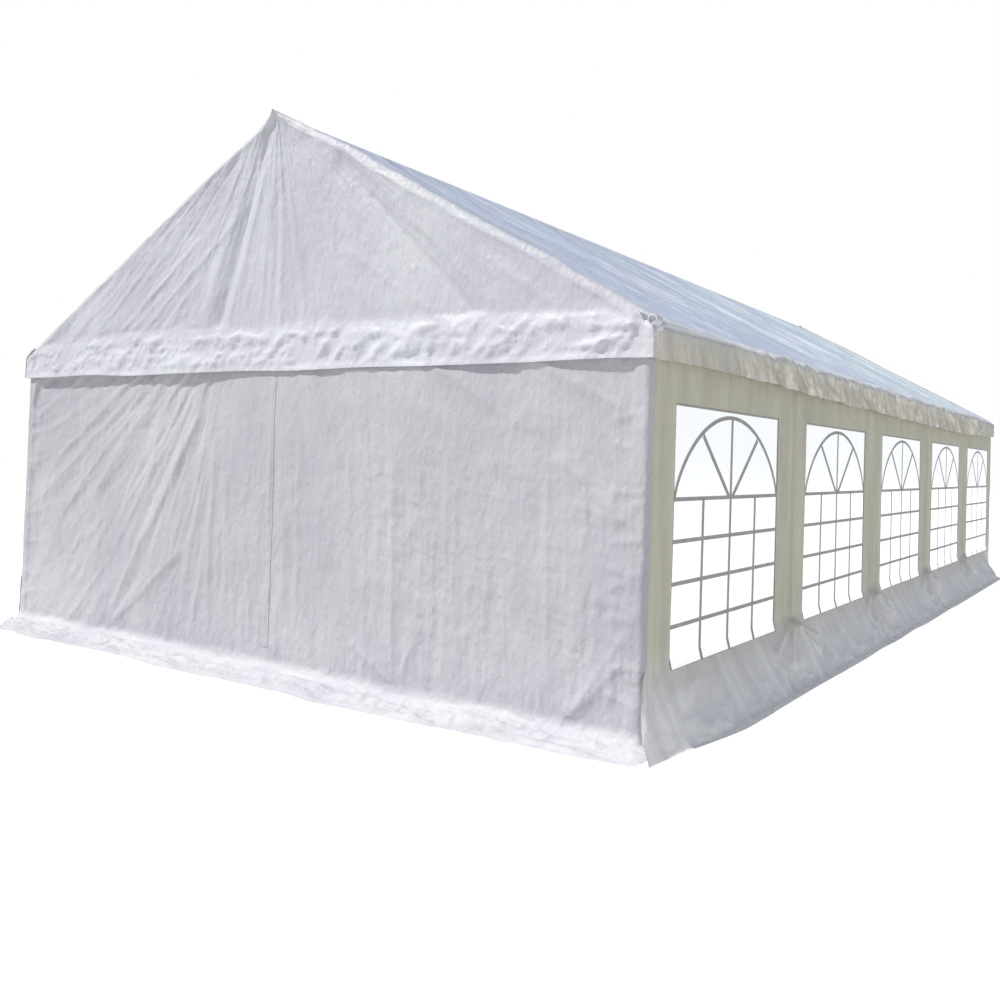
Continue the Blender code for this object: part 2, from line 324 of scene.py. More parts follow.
sideLook = {
    **endLook,
    "light": (0.86, 0.86, 0.88),
    "middle": (0.79, 0.785, 0.81),
    "dark": (0.72, 0.71, 0.75),
    # painted shade: darker and warm where it stands upright in shade, bluish near the ground where it faces the sky
    "tint": (0.602, 0.590, 0.456),
    "tintAxis": "Z",
    "tintFrom": 0.48,
    "tintTo": 0.10,
    "crinkle": 0.3,
    # narrow upright streaks of lighter and darker tone: painted shade of the pleats
    "patchScale": (1.5, 9.0, 0.8),
    "turn": (0.0, 0.0, 0.0),
    "stretch": (1.0, 1.4, 0.5),
}
roofLook = {
    **gableLook,
    # painted sky reflection: bluish tones, drawn out in streaks along the slope
    "light": (0.741, 0.801, 0.839),
    "middle": (0.578, 0.649, 0.725),
    "dark": (0.480, 0.550, 0.659),
    # painted sky reflection: bluer and darker towards the front end
    "tint": (0.768, 0.764, 0.865),
    "tintAxis": "Y",
    "tintFrom": -5.0,
    "tintTo": 6.0,
    "roughness": 0.36,
    "gloss": 0.6,
    "patchScale": (0.9, 7.0, 0.9),
    "stretch": (0.5, 1.5, 0.5),
    "turn": (0.0, 0.0, 0.0),
    "crinkle": 0.4,
}
valanceLook = {
    **roofLook,
    # painted sky reflection: bluish like the roof
    "light": (0.68, 0.71, 0.75),
    "middle": (0.555, 0.59, 0.645),
    "dark": (0.47, 0.505, 0.56),
    # narrow upright streaks of lighter and darker tone: painted shade of the pleats
    "patchScale": (1.5, 10.0, 2.0),
    # painted shade: darker and warm below the shoulder
    "tint": (0.98, 0.88, 0.70),
    "tintAxis": "Z",
    "tintFrom": 1.84,
    "tintTo": 1.955,
}
gableFabric = tarpaulin("gable_tarpaulin", gableLook)
endFabric = tarpaulin("end_tarpaulin", endLook)
sideFabric = tarpaulin("side_tarpaulin", sideLook)
valanceFabric = tarpaulin("valance_tarpaulin", valanceLook)
roofFabric = tarpaulin("roof_tarpaulin", roofLook)


def glowingFilm():
    material = bpy.data.materials.new("window_vinyl_painted_glow")
    material.use_nodes = True
    tree = material.node_tree
    shader = tree.nodes["Principled BSDF"]
    shader.inputs["Roughness"].default_value = 0.18
    # painted glow: the film gives off light of its own, standing in for the bright backdrop seen through it
    shader.inputs["Emission Color"].default_value = (0.95, 0.97, 1.0, 1.0)
    shader.inputs["Emission Strength"].default_value = 0.75
    place = tree.nodes.new("ShaderNodeTexCoord")
    haze = addNode(tree, "ShaderNodeTexNoise", Scale=3.0, Detail=3.0)
    tree.links.new(place.outputs["Object"], haze.inputs["Vector"])
    tone = tree.nodes.new("ShaderNodeValToRGB")
    tone.color_ramp.elements[0].color = (0.22, 0.22, 0.22, 1.0)
    tone.color_ramp.elements[1].color = (0.28, 0.28, 0.28, 1.0)
    tree.links.new(haze.outputs["Fac"], tone.inputs["Fac"])
    tree.links.new(tone.outputs["Color"], shader.inputs["Base Color"])
    ripple = addNode(tree, "ShaderNodeTexNoise", Scale=9.0, Detail=2.0)
    tree.links.new(place.outputs["Object"], ripple.inputs["Vector"])
    bump = addNode(tree, "ShaderNodeBump", Strength=0.15, Distance=0.004)
    tree.links.new(ripple.outputs["Fac"], bump.inputs["Height"])
    tree.links.new(bump.outputs["Normal"], shader.inputs["Normal"])
    return material


def greyPrint():
    material = bpy.data.materials.new("window_bar_grey")
    material.use_nodes = True
    tree = material.node_tree
    shader = tree.nodes["Principled BSDF"]
    shader.inputs["Roughness"].default_value = 0.55
    place = tree.nodes.new("ShaderNodeTexCoord")
    wear = addNode(tree, "ShaderNodeTexNoise", Scale=14.0, Detail=4.0)
    tree.links.new(place.outputs["Object"], wear.inputs["Vector"])
    tone = tree.nodes.new("ShaderNodeValToRGB")
    tone.color_ramp.elements[0].position = 0.3
    tone.color_ramp.elements[0].color = (0.26, 0.255, 0.24, 1.0)
    tone.color_ramp.elements[1].position = 0.7
    tone.color_ramp.elements[1].color = (0.34, 0.335, 0.32, 1.0)
    tree.links.new(wear.outputs["Fac"], tone.inputs["Fac"])
    tree.links.new(tone.outputs["Color"], shader.inputs["Base Color"])
    bump = addNode(tree, "ShaderNodeBump", Strength=0.2, Distance=0.001)
    tree.links.new(wear.outputs["Fac"], bump.inputs["Height"])
    tree.links.new(bump.outputs["Normal"], shader.inputs["Normal"])
    return material


def galvanised():
    material = bpy.data.materials.new("galvanised_tube")
    material.use_nodes = True
    tree = material.node_tree
    shader = tree.nodes["Principled BSDF"]
    shader.inputs["Metallic"].default_value = 0.9
    place = tree.nodes.new("ShaderNodeTexCoord")
    spangle = addNode(tree, "ShaderNodeTexVoronoi", Scale=90.0)
    tree.links.new(place.outputs["Object"], spangle.inputs["Vector"])
    tone = tree.nodes.new("ShaderNodeValToRGB")
    tone.color_ramp.elements[0].color = (0.50, 0.51, 0.52, 1.0)
    tone.color_ramp.elements[1].color = (0.66, 0.67, 0.68, 1.0)
    tree.links.new(spangle.outputs["Distance"], tone.inputs["Fac"])
    tree.links.new(tone.outputs["Color"], shader.inputs["Base Color"])
    grime = addNode(tree, "ShaderNodeTexNoise", Scale=7.0, Detail=5.0)
    tree.links.new(place.outputs["Object"], grime.inputs["Vector"])
    rough = tree.nodes.new("ShaderNodeMapRange")
    rough.inputs["To Min"].default_value = 0.32
    rough.inputs["To Max"].default_value = 0.62
    tree.links.new(grime.outputs["Fac"], rough.inputs["Value"])
    tree.links.new(rough.outputs["Result"], shader.inputs["Roughness"])
    return material


glowingFilmFinish = glowingFilm()
barFinish = greyPrint()
steelFinish = galvanised()
print("materials ready")


# Half width of the roof cover's outside at a height, with a small offset outwards

def coverEdge(z, offset):
    radius = tent["shoulderRadius"] + offset
    top = tent["ridgeTop"] + offset * slopeFactor
    onArc = shoulderX + np.sqrt(np.maximum(radius**2 - (z - shoulderZ) ** 2, 0.0))
    onSlope = (top - z) / tent["slope"]
    x = np.where(z < shoulderZ + radius * math.cos(slopeAngle), onArc, onSlope)
    return np.where(z < shoulderZ, tent["valanceX"] + offset, x)


def cornerTuck(inward, x, open):
    # near a corner the cover lies closer to the wall, most where the pole's sleeve end is open:
    # that is the right-hand corner of each end, seen from outside
    tuck = np.where(open, tent["tuck"]["open"], tent["tuck"]["plain"])
    return tuck * smoothStep(0.9, 0.1, inward) * smoothStep(2.465, 2.53, x)


# Section of a wall: down from its top, round the bend and out over the ground

def wallSection(down, bend, top):
    straight = top - bend - tent["groundGap"]
    arc = 0.5 * math.pi * bend
    angle = np.clip((down - straight) / bend, 0.0, 0.5 * math.pi)
    out = bend * (1.0 - np.cos(angle)) + np.maximum(down - straight - arc, 0.0)
    z = np.where(down < straight, top - down, tent["groundGap"] + bend * (1.0 - np.sin(angle)))
    return out, z, angle


def roundCorner(reach, limit, radius):
    # turns the last stretch before a corner through a right angle; gives place and setback
    start = limit - radius
    angle = np.clip((reach - start) / radius, 0.0, 0.5 * math.pi)
    place = np.where(reach < start, reach, start + radius * np.sin(angle))
    return place, radius * (1.0 - np.cos(angle))


endWall = {
    "columns": {"front": 220, "rear": 150},
    "rows": {"front": 180, "rear": 125},
    "bend": 0.08,
    "reach": 0.33,
    "splay": {"left": -0.80, "right": 0.085},  # how far the skirt's ends slant: a share, a length
    "zip": 0.075,
    "zipWidth": 0.05,
    "cornerRadius": 0.03,
    "hemStrip": 0.085,
    "laceGap": 0.19,
    "cornerReach": 0.25,  # the skirt is narrower at its right-hand end
    "fanLeft": (-0.26, 2.28),
    "fanRight": (0.05, 2.25),
    # start, end, width and height of each fold, in x and z seen from outside
    "folds": [
        ((-0.50, 1.62), (-1.47, 0.07), 0.050, 0.034),
        ((-0.44, 1.62), (-1.36, 0.10), 0.045, -0.014),
        ((-0.66, 1.74), (-1.24, 0.80), 0.040, 0.018),
        ((-0.88, 1.78), (-1.71, 0.90), 0.042, 0.020),
        ((-1.20, 1.78), (-2.30, 1.05), 0.045, 0.020),
        ((-1.04, 1.78), (-2.10, 0.70), 0.035, 0.014),
        ((-1.75, 1.80), (-2.45, 1.44), 0.040, 0.018),
        ((-0.50, 1.78), (-0.82, 1.05), 0.032, 0.014),
        ((-1.43, 0.06), (-0.60, 0.72), 0.040, 0.022),
        ((-1.40, 0.10), (-0.95, 0.52), 0.030, 0.014),
        ((-1.42, 0.06), (-1.62, 0.40), 0.030, 0.010),
        ((-0.43, 1.40), (-0.44, 0.07), 0.026, 0.014),
        ((-0.31, 1.20), (-0.29, 0.12), 0.022, 0.010),
        ((-0.15, 0.85), (-0.06, 0.25), 0.020, 0.009),
        ((0.20, 1.00), (0.21, 0.25), 0.022, 0.009),
        ((0.70, 1.35), (0.73, 0.40), 0.022, 0.010),
        ((1.00, 1.40), (1.05, 0.06), 0.034, 0.020),
        ((1.97, 1.30), (2.00, 0.08), 0.022, 0.012),
        ((1.08, 0.06), (0.70, 0.28), 0.030, 0.016),
        ((1.08, 0.06), (1.24, 0.44), 0.028, 0.016),
        ((1.06, 0.06), (0.86, 0.44), 0.022, 0.008),
        ((0.30, 1.74), (0.70, 1.18), 0.050, 0.016),
        ((1.00, 1.76), (1.35, 1.38), 0.045, 0.016),
        ((1.17, 1.80), (1.90, 1.40), 0.045, 0.024),
        ((1.75, 1.82), (2.46, 1.48), 0.050, 0.032),
        ((1.98, 1.34), (2.43, 0.98), 0.045, 0.026),
        ((2.46, 1.00), (2.10, 1.08), 0.035, 0.014),
        ((2.10, 0.06), (2.42, 0.40), 0.035, 0.022),
        ((2.10, 0.06), (2.46, 0.58), 0.030, 0.018),
        ((2.10, 0.06), (2.15, 0.28), 0.020, 0.012),
        ((2.46, 0.78), (2.20, 0.62), 0.030, 0.010),
        ((-2.36, 1.81), (-2.44, 1.54), 0.022, 0.055),
    ],
}


def endWallRelief(x, z, shift):
    # depth of the creases of an end wall, outwards
    relief = 0.014 * softNoise(x / 0.9, z / 0.8, shift + 3)
    for start, end, width, height in endWall["folds"]:
        relief = relief + foldLine(x, z, start, end, width, 0.42 * height)
    # short creases from the laces of the hem strips
    for index, height in enumerate(np.arange(0.18, 1.7, endWall["laceGap"])):
        lean = (0.05, -0.04, 0.02)[index % 3]
        tip = (2.30, height + lean)
        relief = relief + foldLine(np.abs(x), z, (2.50, height), tip, 0.022, 0.007)
    left = smoothStep(-0.25, -0.60, x)
    low = smoothStep(1.45, 1.15, z)
    topRight = smoothStep(0.15, 0.5, x) * (1 - low)
    rest = smoothStep(0.3, 1.0, x) * low * smoothStep(0.2, 0.5, z)
    relief = relief + 0.0070 * left * fan(x, z, endWall["fanLeft"], 0.085, 0.75, shift)
    relief = relief + 0.0030 * left * fan(x, z, endWall["fanLeft"], 0.038, 0.22, shift + 1)
    relief = relief + 0.0050 * topRight * fan(x, z, endWall["fanRight"], 0.11, 0.6, shift + 4)
    relief = relief + 0.0035 * (1 - left) * low * streaks(x, z, 1.57, 0.42, 0.075, shift + 5)
    relief = relief + 0.0022 * rest * streaks(x, z, -0.25, 0.14, 0.045, shift + 8)
    calm = 0.4 + 0.6 * smoothStep(-0.3, 0.3, softNoise(x / 0.45, z / 0.45, shift + 12))
    return relief + 0.0019 * calm * creaseNoise(x / 0.055, z / 0.08, shift + 9)


def endWallPlace(x, down, side, end, shift):
    # place of a point of an end wall: x as seen from outside, down along the cloth from its top
    info = endWall
    limit = tent["halfSpan"]
    straight = tent["wallTop"] - info["bend"] - tent["groundGap"]
    out, z, angle = wallSection(down, info["bend"], tent["wallTop"])
    inward = limit - np.abs(x)
    reach, setback = roundCorner(np.abs(x), limit, info["cornerRadius"])
    relief = endWallRelief(x, z + np.minimum(0.0, straight - down), shift)
    relief = relief * (0.15 + 0.85 * smoothStep(0.0, 0.12, inward)) * smoothStep(0.0, 0.16, down)
    # the hem strip beside the corner, puckered where it is laced to the frame
    strip = smoothStep(info["hemStrip"] + 0.006, info["hemStrip"] - 0.006, inward)
    pucker = creaseNoise(z / 0.10, x * 0 + shift, 21, 2)
    relief = relief + strip * (0.004 + 0.006 * pucker * smoothStep(0.0, 0.04, inward))
    relief = relief * smoothStep(-0.018, 0.02, inward)
    # flatter behind the band of the gable
    relief = np.minimum(relief, 0.006 + 0.05 * smoothStep(0.11, 0.20, down))
    # the skirt: a hollow and a ridge past the bend, rumples, and a wavy free edge on the ground
    lie = smoothStep(0.1, 0.5 * math.pi, angle)
    ground = np.maximum(out - info["bend"], 0.0)
    ridgeAt = 0.075 + 0.03 * softNoise(x / 0.45, x * 0, shift + 35)
    ridge = (0.020 + 0.012 * softNoise(x / 0.25, x * 0, shift + 36)) * np.exp(-(((ground - ridgeAt) / 0.035) ** 2))
    rumple = 0.012 * creaseNoise(x / 0.22, out / 0.08, shift + 30) + 0.014 * softNoise(x / 0.30, out / 0.12, shift + 31)
    rumple = rumple + 0.006 * creaseNoise(x / 0.08, out / 0.07, shift + 32)
    fadeEdge = smoothStep(info["reach"], info["reach"] - 0.08, out)
    relief = relief * (1 - lie) + lie * (0.012 + rumple + ridge) * (0.15 + 0.85 * fadeEdge)
    narrow = np.interp(x, [1.4, 1.83, 2.25, limit], [1.0, 0.92, 0.85, info["cornerReach"] / info["reach"]])
    wave = 0.06 * softNoise(x / 0.3, x * 0, shift + 33) + 0.03 * creaseNoise(x / 0.12, x * 0, shift + 34)
    outNow = out * (1 + (wave + narrow - 1) * lie)
    splay = info["splay"]["right"] * smoothStep(0.02, 0.09, outNow)
    splay = np.where(x < 0, info["splay"]["left"] * outNow, splay)
    spread = np.sign(x) * (reach + splay * lie * np.clip(np.abs(x) / limit, 0.0, 1.0) ** 4)
    y = tent["halfLength"] + outNow - setback + relief * np.cos(angle)
    return -side * spread, side * y, np.maximum(z + relief * np.sin(angle), 0.0015)


def buildEndWall(side, end, hand, name, shift):
    info = endWall
    total = tent["wallTop"] - tent["groundGap"] + (0.5 * math.pi - 2) * info["bend"] + info["reach"]
    seen = -hand * side  # the hand this half is on for someone who faces it
    edge = seen * (tent["halfSpan"] + info["cornerRadius"] * (math.pi / 2 - 1))

    def layout(u, v):
        return endWallPlace(info["zip"] + (edge - info["zip"]) * u, v * total, side, end, shift)

    sheet = spreadCloth(name, info["columns"][end], info["rows"][end], layout, (0, side, 0.1))
    setFinish(sheet, endFabric, "end_wall", name.replace("_sheet", ""))


def buildZipFlap(side, end, shift):
    info = endWall
    top, bottom = 0.03, 1.74

    def layout(u, v):
        x = info["zip"] + (u - 0.5) * info["zipWidth"]
        x, y, z = endWallPlace(x, top + (bottom - top) * v, side, end, shift)
        roll = 0.0012 + 0.0022 * np.sqrt(np.clip(1 - (2 * u - 1) ** 2, 0, 1))
        roll = roll - 0.0016 * np.exp(-(((u - 0.72) / 0.06) ** 2))  # the stitched line
        return x, y + side * roll, z

    flap = spreadCloth(f"{end}_zip_flap_sheet", 24, 150, layout, (0, side, 0))
    setFinish(flap, endFabric, "zip_tape", f"{end}_zip_flap")


for side, end, shift in ((-1, "front", 0.0), (1, "rear", 50.0)):
    for hand, word in ((-1, "left"), (1, "right")):
        buildEndWall(side, end, hand, f"{end}_wall_{word}_sheet", shift)
    buildZipFlap(side, end, shift)
print("end walls ready")


gable = {
    "columns": {"front": 380, "rear": 270},
    "rows": {"front": 150, "rear": 110},
    "hem": 1.75,
    "stand": 0.034,  # how far the rake edge stands off the wall
    "hemStand": 0.020,
    "cornerStand": 0.012,
    "rollAside": 0.095,  # the edge rolls over the rafter and lies on the roof
    "rollDeep": 0.050,
    "rollBack": 0.05,
    "faceShare": 0.91,
    "bevel": 0.6,
    "cornerReturn": 0.012,
    "bandClear": 0.009,
    # how far the roll stands above the roof, against the height below the ridge
    "liftFall": [0.0, 0.06, 0.20, 0.34, 0.50, 0.62, 1.00, 1.36],
    "lift": [0.003, 0.008, 0.020, 0.034, 0.032, 0.020, 0.020, 0.010],
    "liftShare": {"front": 1.0, "rear": 0.4},
    # the crest where the band leaves the rafters: x and z along it
    "crestX": [-2.5, -2.28, -1.59, -1.14, -0.44, 0.11, 0.38, 0.76, 1.28, 1.67, 2.03, 2.5],
    "crestZ": [1.95, 1.97, 2.02, 2.03, 1.99, 1.98, 2.01, 1.97, 1.98, 1.96, 1.95, 1.93],
    "folds": [
        ((0.00, 3.34), (-0.47, 1.96), 0.060, -0.042),
        ((0.05, 3.32), (-0.36, 2.00), 0.040, 0.016),
        ((-0.05, 3.30), (-0.62, 2.00), 0.045, 0.012),
        ((0.04, 2.85), (0.06, 1.94), 0.030, -0.016),
        ((0.09, 2.75), (0.11, 1.96), 0.025, 0.009),
        ((-0.09, 3.27), (-0.20, 2.60), 0.030, 0.012),
        ((-0.20, 3.18), (-0.52, 2.50), 0.030, 0.010),
        ((-1.45, 2.00), (-0.60, 2.62), 0.040, 0.020),
        ((-1.20, 2.00), (-0.28, 2.70), 0.035, 0.018),
        ((-1.70, 2.00), (-0.95, 2.62), 0.040, 0.016),
        ((-1.00, 2.02), (-0.60, 2.35), 0.030, 0.014),
        ((-1.95, 2.02), (-1.30, 2.42), 0.040, 0.014),
        ((-1.35, 2.00), (-0.95, 2.28), 0.025, 0.010),
        ((0.30, 3.14), (1.04, 1.98), 0.055, 0.022),
        ((0.47, 2.98), (1.56, 1.95), 0.075, -0.048),
        ((0.56, 3.00), (1.72, 1.96), 0.050, 0.016),
        ((0.22, 3.08), (0.80, 2.00), 0.045, 0.014),
        ((0.60, 2.42), (1.30, 1.99), 0.040, 0.014),
        ((1.10, 2.50), (1.42, 2.05), 0.040, -0.014),
        ((1.55, 2.30), (2.05, 1.98), 0.040, 0.014),
    ],
    "bandFolds": [
        ((-2.42, 1.98), (-2.30, 1.78), 0.022, -0.016),
        ((-2.36, 1.94), (-2.18, 1.90), 0.020, 0.012),
        ((0.40, 1.99), (0.26, 1.77), 0.022, -0.014),
        ((0.62, 1.98), (0.48, 1.77), 0.020, -0.012),
        ((0.86, 1.93), (0.76, 1.78), 0.022, -0.012),
        ((-0.20, 1.96), (-0.36, 1.80), 0.022, -0.010),
        ((2.452, 1.975), (2.448, 1.865), 0.018, -0.040),
        ((2.405, 1.98), (2.39, 1.87), 0.018, 0.018),
        ((2.10, 1.80), (2.46, 1.88), 0.024, 0.016),
    ],
}


def gableRelief(x, z, shift):
    # depth of the creases of the triangle, outwards
    relief = 0.012 * softNoise(x / 0.7, z / 0.6, shift + 2)
    for start, end, width, height in gable["folds"]:
        relief = relief + foldLine(x, z, start, end, width, 0.5 * height, 0.1)
    relief = relief + 0.0050 * fan(x, z, (0.0, 3.42), 0.10, 0.9, shift + 4)
    relief = relief + 0.0022 * fan(x, z, (0.0, 3.42), 0.04, 0.35, shift + 5)
    relief = relief + 0.0035 * smoothStep(-0.5, -0.9, x) * streaks(x, z, 0.62, 0.4, 0.06, shift + 6)
    calm = 0.35 + 0.65 * smoothStep(-0.3, 0.3, softNoise(x / 0.4, z / 0.4, shift + 12))
    return relief + 0.0017 * calm * creaseNoise(x / 0.055, z / 0.055, shift + 7)


def buildGable(side, end, name, shift):
    info = gable
    hem = info["hem"]
    end = "front" if side < 0 else "rear"
    apex = tent["ridgeTop"] + 0.008

    def layout(u, v):
        z = hem + (apex - hem) * v
        above = smoothStep(shoulderZ - 0.02, shoulderZ + 0.04, z)
        hand = np.sign(2 * u - 1)
        open = -side * hand > 0
        ripple = softNoise(z / 0.09, hand, shift) + 0.5 * creaseNoise(z / 0.035, hand, shift + 1)
        lift = np.interp(apex - z, info["liftFall"], info["lift"]) * np.where(open, 1.0, 0.7)
        lift = np.maximum(lift * info["liftShare"][end] * (1 + 0.38 * ripple), 0.002)
        edge = coverEdge(z, 0.003) + above * lift / upSlope[0]
        edge = edge - cornerTuck(0.0, edge, open)
        ledge = info["cornerReturn"]
        aside = np.minimum(ledge + (info["rollAside"] - ledge) * above, 0.5 * edge)
        deep = ledge + (info["rollDeep"] - ledge) * above
        share = np.abs(2 * u - 1)
        run = np.clip((share - info["faceShare"]) / (1 - info["faceShare"]), 0.0, 1.0)
        part = np.minimum(run / 0.7, 1.0)
        angle = part * 0.5 * math.pi
        # between a quarter circle and a bevel, so that a broad strip faces the sky
        bevel = info["bevel"] * above
        aslant = bevel * part + (1 - bevel) * np.sin(angle)
        x = np.minimum(share / info["faceShare"], 1.0) * (edge - aside) + aside * aslant
        back = np.maximum(run - 0.7, 0.0) / 0.3 * info["rollBack"] * (1 + 0.5 * ripple) * (0.08 + 0.92 * above)
        behind = deep * (bevel * part + (1 - bevel) * (1 - np.cos(angle))) + back
        # past the roll the cloth comes down onto the roof
        sink = above * (lift + 0.004) * smoothStep(0.7, 1.0, run)
        x = x - sink * upSlope[0]
        rim = edge - x
        seenX = -side * hand * x
        crest = np.interp(seenX, info["crestX"], info["crestZ"]) + 0.015 * softNoise(seenX / 0.10, z * 0, shift)
        band = smoothStep(0.05, -0.02, z - crest)
        fadeRim = 0.06 + 0.94 * smoothStep(0.0, 0.14, rim)
        relief = gableRelief(seenX, z, shift) * (1 - band)
        # the band: lumps and short creases that lean to the right
        fall = np.clip((crest - z) / (crest - hem), 0.0, 1.0)
        lump = 0.011 * streaks(seenX, z, 0.80, 0.18, 0.10, shift + 8)
        lump = lump + 0.010 * softNoise(seenX / 0.22, z / 0.08, shift + 9)
        fine = 0.0065 * creaseNoise(seenX / 0.080, z / 0.05, shift + 10)
        fine = fine + 0.0022 * creaseNoise(seenX / 0.03, z / 0.03, shift + 14)
        for start, tip, width, height in info["bandFolds"]:
            lump = lump + foldLine(seenX, z, start, tip, width, height)
        # a rolled crest on top, a hollow under it
        swell = 1 + 0.6 * softNoise(seenX / 0.25, x * 0, shift + 16)
        crown = swell * (0.009 * np.exp(-(((fall - 0.16) / 0.12) ** 2)) - 0.004 * np.exp(-(((fall - 0.48) / 0.16) ** 2)))
        steady = 1 - 0.7 * smoothStep(0.06, 0.0, z - hem)
        drape = 0.004 * softNoise(seenX / 0.40, x * 0, shift + 11) * smoothStep(0.16, 0.0, z - hem)
        seam = 0.004 * smoothStep(0.024, 0.012, z - hem)
        relief = relief + band * ((lump + fine + crown) * steady + drape + seam)
        # the band leans out from its crest to its hem
        lean = np.interp(fall, [0.0, 0.6, 1.0], [0.004, 0.022, info["hemStand"]]) * band
        near = np.exp(-rim / 0.10)
        corner = info["cornerStand"] + (info["stand"] - info["cornerStand"]) * above
        face = lean * (1 - near) + corner * near + relief * fadeRim
        # the band stays clear of the top of the end wall behind it
        clear = 0.5 * (face + info["bandClear"] + np.hypot(face - info["bandClear"], 0.004))
        face = face + band * (clear - face)
        y = tent["halfLength"] + face - behind
        outward = np.sin(angle)
        pucker = 0.0035 * creaseNoise(z / 0.035, behind / 0.03, shift + 15) * smoothStep(0.10, 0.02, rim)
        y = y + pucker * (1 - outward)
        x = x + pucker * outward
        z = z + 0.008 * softNoise(seenX / 0.5, x * 0, shift + 8) * smoothStep(0.12, 0.0, v) - sink * upSlope[1]
        return hand * x, side * y, z

    sheet = spreadCloth(name, info["columns"][end], info["rows"][end], layout, (0, side, 0))
    setFinish(sheet, gableFabric, "gable_cover", name.replace("_sheet", ""))


buildGable(-1, "front", "front_gable_cover_sheet", 0.0)
buildGable(1, "rear", "rear_gable_cover_sheet", 60.0)

sleeveEnd = {"x": 2.518, "z": 1.920, "outer": 0.026, "inner": 0.018, "from": 4.995, "to": 5.048}


def buildSleeveEnd(side, hand, name):
    # the rolled edge around the end of the eave pole, open at its end
    info = sleeveEnd
    outside = info["to"] - info["from"]
    lip = info["outer"] - info["inner"]
    total = outside + 2 * lip + info["inner"]

    def layout(u, v):
        run = v * total
        turn = 2 * math.pi * u
        stops = [0.0, outside, outside + lip, outside + 2 * lip, total]
        radius = np.interp(run, stops, [info["outer"], info["outer"], info["inner"], info["inner"], 0.0005])
        along = np.interp(run, stops, [0.0, outside, outside + 0.002, outside - lip, outside - 1.5 * lip])
        radius = radius * (1 + 0.10 * softNoise(2.0 * np.cos(turn) + 9, 2.0 * np.sin(turn) + along / 0.03, 3.0))
        x = info["x"] + radius * np.cos(turn)
        return hand * x, side * (info["from"] + along), info["z"] + radius * np.sin(turn)

    sleeve = spreadCloth(name, 40, 24, layout, (0, side, 0))
    setFinish(sleeve, gableFabric, "gable_cover", "roof_cover")


buildSleeveEnd(-1, 1, "front_sleeve_end")
buildSleeveEnd(1, -1, "rear_sleeve_end")
print("gables ready")


roof = {
    "columns": 160,
    "rows": 480,
    "sag": 0.045,
    "endY": 4.985,  # the gable's rolled edge lies over the last stretch
    "seamX": 2.45,  # where the side valance is sewn on, just above the shoulder
}


def roofRelief(across, y, shift):
    # across is the distance from the ridge down the slope
    rafterGap = np.min([np.abs(y - place) for place in rafterY], axis=0)
    near = np.exp(-rafterGap / 0.16)
    bayPart = np.abs(np.sin(np.pi * (y + tent["halfLength"]) / tent["bay"]))
    down = np.clip(across / 2.87, 0.0, 1.0)
    belly = np.sin(np.pi * down)
    relief = -roof["sag"] * bayPart**0.7 * belly**0.6
    relief = relief + 0.014 * np.exp(-rafterGap / 0.025) * belly**0.3
    relief = relief + (0.006 + 0.008 * near) * creaseNoise(across / 0.60, y / 0.16, shift, 2) * belly**0.4
    relief = relief + 0.012 * softNoise(across / 0.9, y / 0.5, shift + 4) * belly
    eave = smoothStep(0.60, 1.0, down)
    relief = relief + 0.007 * eave * creaseNoise(across / 0.30, (y + 0.3 * across) / 0.10, shift + 5, 2)
    relief = relief + 0.0028 * creaseNoise(across / 0.09, y / 0.06, shift + 6)
    relief = relief * smoothStep(0.0, 0.22, across)
    # it rests on the rafters and can't sink through them
    return np.maximum(relief, -0.001 - 16.0 * rafterGap**2)


def buildRoof():
    info = roof
    halfAcross = info["seamX"] * slopeFactor

    def layout(u, v):
        across = (2 * u - 1) * halfAcross
        y = (2 * v - 1) * info["endY"]
        distance = np.abs(across)
        relief = roofRelief(distance, y, np.where(across < 0, 0.0, 20.0))
        edge = smoothStep(0.0, 0.05, halfAcross - distance)
        calm = smoothStep(0.03, 0.20, info["endY"] - np.abs(y))
        relief = relief * (0.1 + 0.9 * calm) * edge
        z = tent["ridgeTop"] - tent["slope"] * distance / slopeFactor - 0.010 * np.exp(-distance / 0.03)
        relief = relief - 0.004 * smoothStep(0.02, 0.0, halfAcross - distance)
        x = np.sign(across) * (distance / slopeFactor + upSlope[0] * relief * np.minimum(distance / 0.1, 1.0))
        return x, y, z + upSlope[1] * relief

    sheet = spreadCloth("roof_cover_sheet", info["columns"], info["rows"], layout, (0, 0, 1))
    setFinish(sheet, roofFabric, "roof_cover", "roof_cover")


buildRoof()
print("roof ready")


sideValance = {
    "columns": {"right": 1150, "left": 750},
    "rows": 22,
    "topX": 2.43,
    # height of the hem along the tent, from the front
    "hemY": [-5.0, -4.6, -3.3, -2.0, 0.5, 2.2, 4.2, 5.0],
    "hemZ": [1.752, 1.762, 1.742, 1.724, 1.708, 1.700, 1.716, 1.745],
    "flare": 0.012,
    "endY": 5.015,
    "pleat": 0.031,
}


